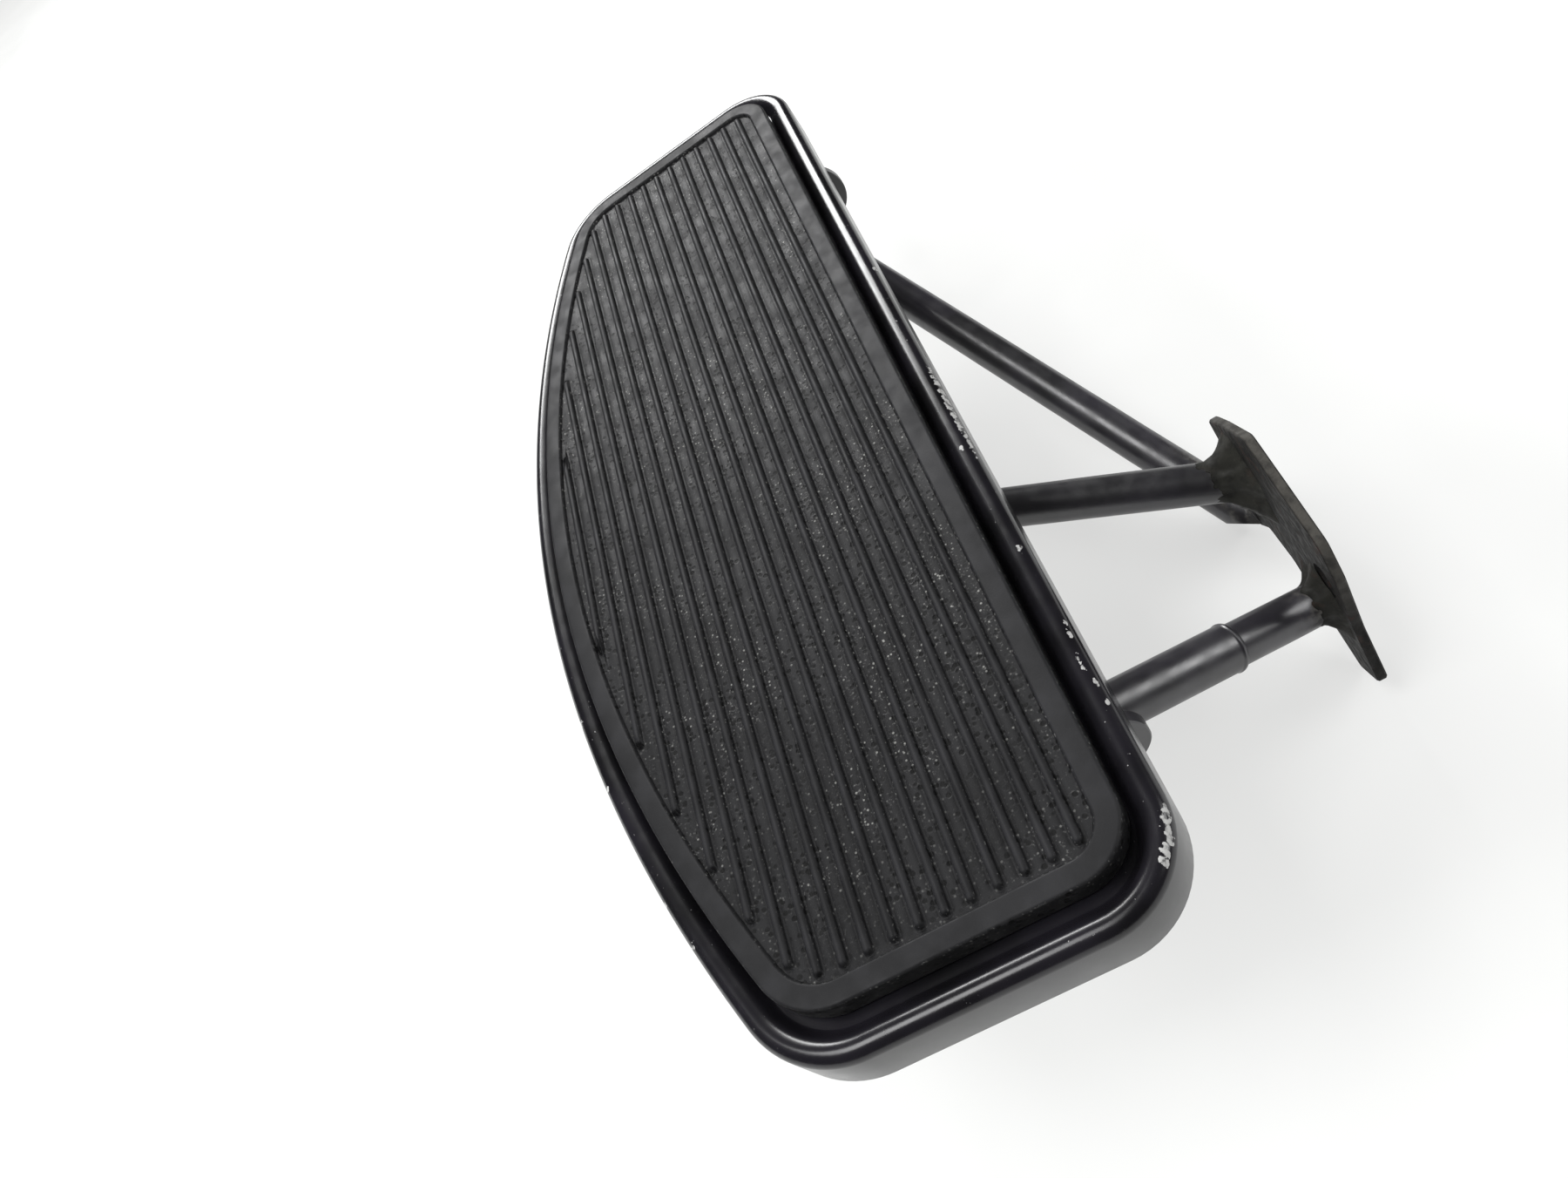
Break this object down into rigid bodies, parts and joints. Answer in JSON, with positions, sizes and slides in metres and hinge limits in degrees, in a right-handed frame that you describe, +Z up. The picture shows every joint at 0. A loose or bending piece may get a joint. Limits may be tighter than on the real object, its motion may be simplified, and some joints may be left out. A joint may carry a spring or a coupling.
{
  "type": "folding footboard",
  "caption": "Folding rider footboard: long rimmed black pan with a ribbed rubber tread, hinged on a tube whose welded struts meet at a small flat mounting plate.",
  "frame": {"origin": "a point on the inboard face of the mounting plate, beside its bolt hole", "axes": "+X along the board towards its front end, +Y outboard away from the vehicle's frame, +Z up"},
  "size_m": [0.397, 0.2195, 0.1015],
  "materials": {
    "black_paint": "satin-gloss black paint, chipped on the rim",
    "plate_steel": "worn, scratched grey-black with traces of rust",
    "rubber": "matte, dusty",
    "zinc_steel": "dull zinc plate",
    "bronze": "sintered",
    "nylon": "matte"
  },
  "bodies": {
    "bracket": {"mount_plate": "plate_steel", "hinge_tube": "black_paint", "front_strut": "black_paint", "centre_strut": "black_paint", "rear_strut": "black_paint", "rear_strut_sleeve": "black_paint", "stop_arm_front": "black_paint", "stop_arm_rear": "black_paint", "stop_bumper_front": "rubber", "stop_bumper_rear": "rubber", "hinge_bush_front": "bronze", "hinge_bush_rear": "bronze", "thrust_washer_front": "nylon", "thrust_washer_rear": "nylon"},
    "board": {"pan": "black_paint", "tread_pad": "rubber", "hinge_ear_front": "black_paint", "hinge_ear_rear": "black_paint", "ear_rivet_1": "zinc_steel", "ear_rivet_2": "zinc_steel", "ear_rivet_3": "zinc_steel", "ear_rivet_4": "zinc_steel", "pivot_bolt": "zinc_steel", "pivot_nut": "zinc_steel", "pivot_washer_front": "zinc_steel", "pivot_washer_rear": "zinc_steel"}
  },
  "joints": [
    {"name": "board_fold", "type": "hinge", "parent": "bracket", "child": "board", "pos_m": [0.1, 0.0778, 0.0323], "axis": [1, 0, 0], "range_deg": [0, 50]}
  ]
}
